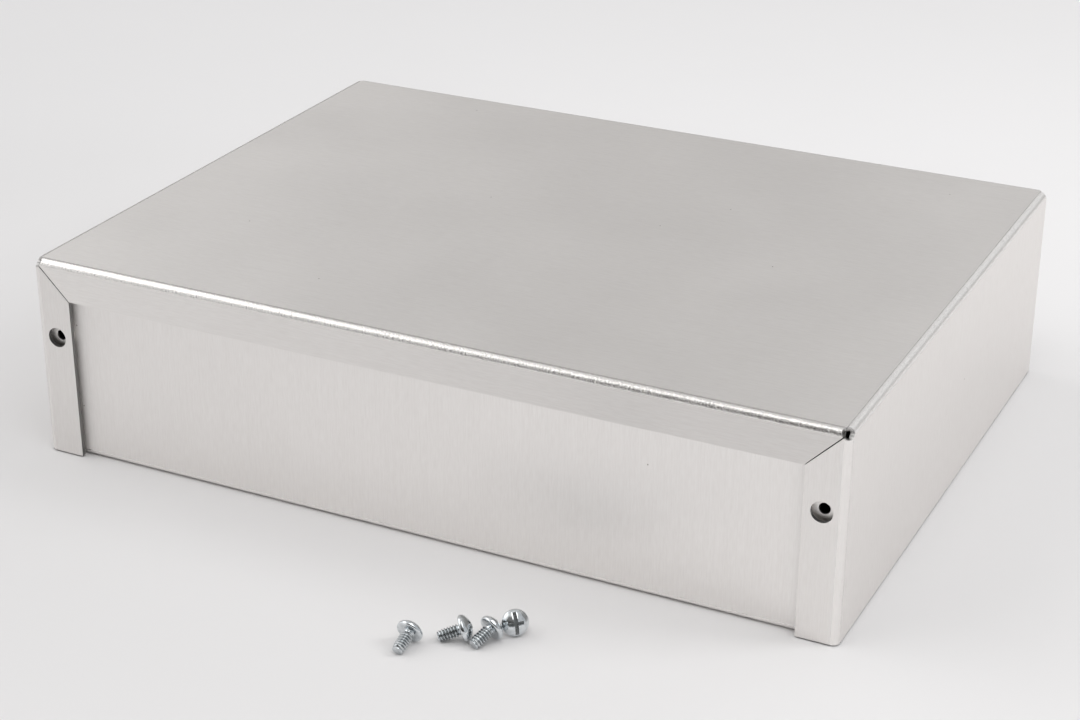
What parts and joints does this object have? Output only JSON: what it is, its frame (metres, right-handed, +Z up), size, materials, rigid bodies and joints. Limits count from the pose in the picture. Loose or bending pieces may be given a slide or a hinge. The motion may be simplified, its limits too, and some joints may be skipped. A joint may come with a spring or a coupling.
{
  "type": "sheet aluminium enclosure",
  "caption": "Low folded-sheet aluminium enclosure: a lift-off cover with mitred flanges over a U-shaped base, its loose domed-head cover screws lying in front.",
  "frame": {"origin": "centre of the enclosure's underside, on the resting surface; the loose screws in front are not counted in that centre", "axes": "+X to the right along the length, +Y to the back, +Z up"},
  "size_m": [0.254, 0.2453, 0.0635],
  "materials": {
    "cover_aluminium": "fine satin sheet finish, grain along the length on the top and upright on the ends",
    "base_aluminium": "fine satin sheet finish, grain upright on the front and back panels",
    "screw_zinc": "bright zinc plate on steel"
  },
  "bodies": {
    "base": {"base": "base_aluminium", "cover_screws": "screw_zinc"},
    "cover": {"cover": "cover_aluminium"}
  },
  "joints": [
    {"name": "cover_lift", "type": "slide", "parent": "base", "child": "cover", "axis": [0, 0, 1], "range_m": [0, 0.07]}
  ]
}
